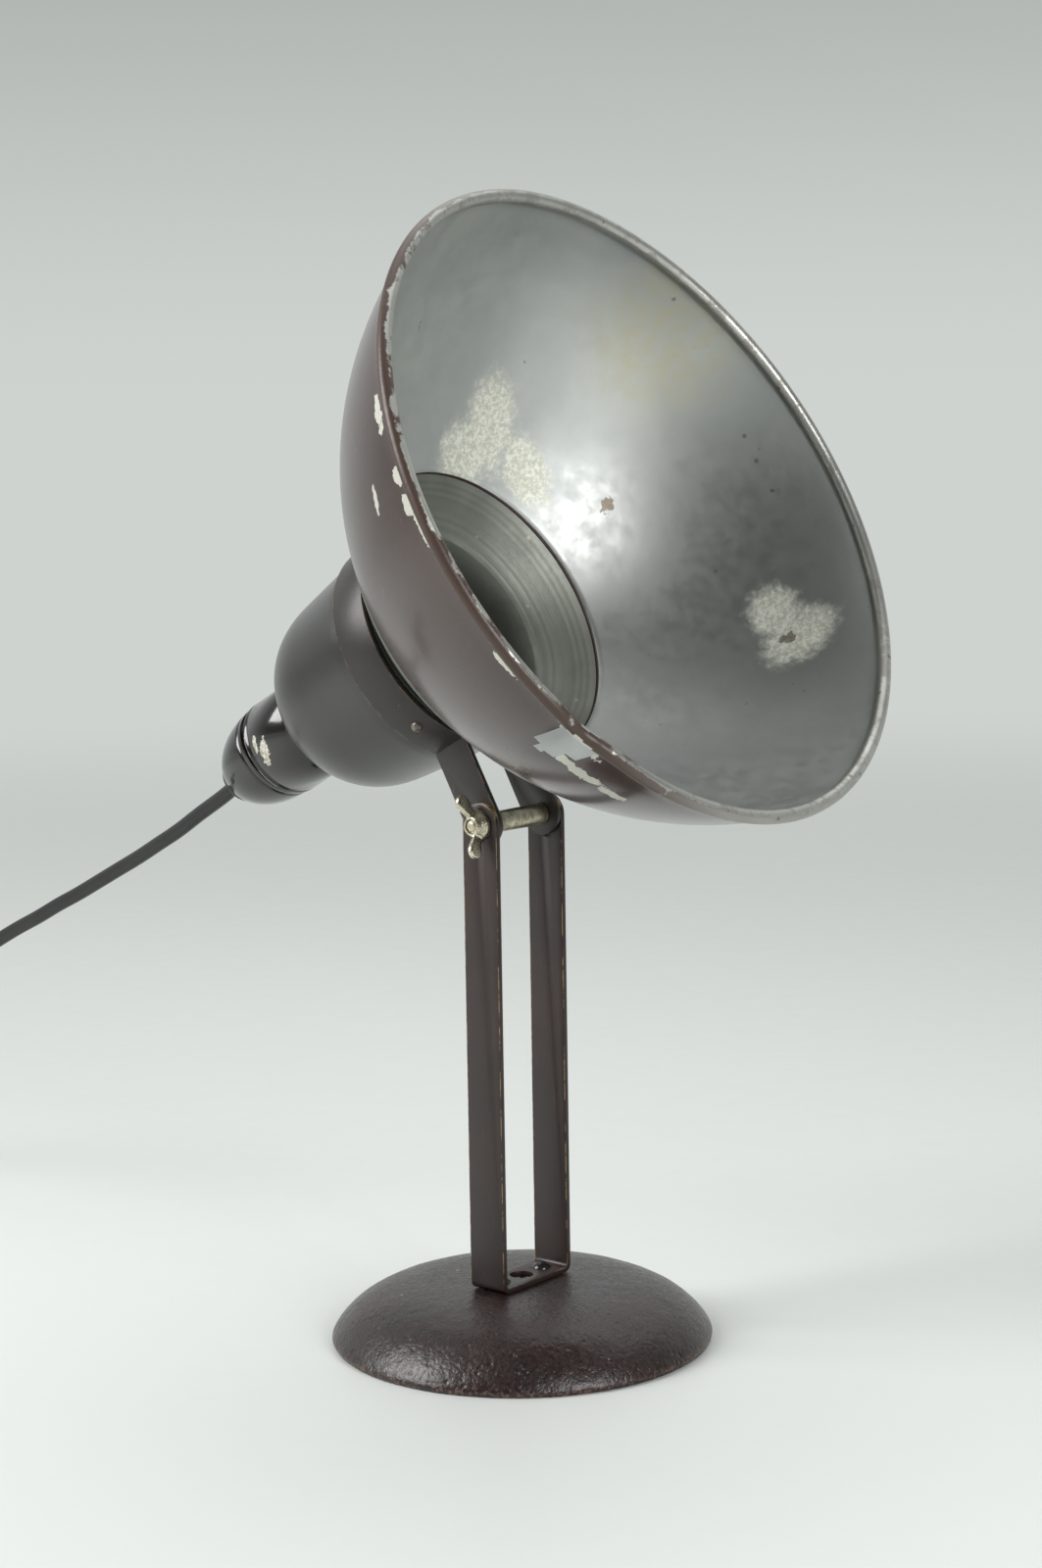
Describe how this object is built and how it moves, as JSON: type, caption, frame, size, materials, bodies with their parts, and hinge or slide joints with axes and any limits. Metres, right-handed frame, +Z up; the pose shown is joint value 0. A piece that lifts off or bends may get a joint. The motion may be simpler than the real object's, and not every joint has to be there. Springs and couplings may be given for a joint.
{
  "type": "adjustable table heat lamp",
  "caption": "Adjustable table heat lamp: spun reflector and bell-shaped socket housing in a strap yoke that tilts on a flat-strip stand with a domed cast foot, clamped by a wing nut.",
  "frame": {"origin": "centre of the foot, on the surface that the lamp stands on", "axes": "+Z up, the head leans and shines towards +X, the pivot bolt lies along Y with the wing nut on the -Y side"},
  "size_m": [0.7062, 0.287, 0.4261],
  "materials": {
    "foot_paint": "semi-gloss dark maroon-brown paint over a rough cast-iron surface, rubbed at the edge",
    "stand_paint": "semi-gloss maroon-brown paint on a steel strip, worn through to bright metal along its edges",
    "yoke_paint": "semi-gloss reddish-brown paint on a steel strip",
    "dark_screw": "blackened steel",
    "yoke_screw_steel": "browned steel, paint left in the slot",
    "plated_steel": "dull zinc plating",
    "pivot_steel": "yellowed zinc plating",
    "wing_zinc": "yellowed zinc plating, stained in the corners",
    "tube_zinc": "mottled yellowish galvanising",
    "bell_paint": "satin dark brown-grey paint",
    "collar_alloy": "dull unpolished grey spinning, faint rings",
    "reflector_shell": "satin bare aluminium inside; glossy maroon-brown paint with chips outside",
    "cover_enamel": "glossy dark enamel with one chipped patch",
    "cap_bakelite": "glossy black Bakelite",
    "bushing_black": "black moulding",
    "holder_ceramic": "unglazed off-white porcelain",
    "holder_brass": "plain brass",
    "lead_plastic": "brown and blue core insulation",
    "cord_black": "black cord sheath, slightly shiny",
    "tie_black": "black tie strap",
    "plug_black": "moulded black plug",
    "pin_nickel": "nickel-plated plug pins"
  },
  "bodies": {
    "stand": {"base_foot": "foot_paint", "stand_strap": "stand_paint", "stand_screws": "dark_screw", "stand_washers": "plated_steel", "stand_nuts": "plated_steel", "pivot_bolt": "pivot_steel", "bolt_washer": "pivot_steel", "clamp_washer": "pivot_steel", "cord": "cord_black", "cord_coil": "cord_black", "cord_tie": "tie_black", "cord_tail": "cord_black", "plug_body": "plug_black", "plug_pins": "pin_nickel"},
    "head": {"yoke_strap": "yoke_paint", "spacer_tube": "tube_zinc", "yoke_screws": "yoke_screw_steel", "yoke_nuts": "plated_steel", "bell_housing": "bell_paint", "neck_collar": "collar_alloy", "reflector": "reflector_shell", "retaining_ring": "plated_steel", "socket_cover": "cover_enamel", "socket_cap": "cap_bakelite", "cord_bushing": "bushing_black", "cord_grip": "plated_steel", "cord_inner": "cord_black", "lampholder_body": "holder_ceramic", "screw_shell": "holder_brass", "centre_contact": "holder_brass", "shell_contact": "holder_brass", "terminal_screws": "holder_brass", "lead_wires": "lead_plastic"},
    "wing": {"wing_nut": "wing_zinc"}
  },
  "joints": [
    {"name": "head_tilt", "type": "hinge", "parent": "stand", "child": "head", "pos_m": [0, 0, 0.1975], "axis": [0, 1, 0], "range_deg": [-75, 80], "deforming": ["cord"]},
    {"name": "wing_nut_turn", "type": "hinge", "parent": "stand", "child": "wing", "pos_m": [0, -0.0225, 0.1975], "axis": [0, -1, 0], "range_deg": [0, 360]}
  ]
}
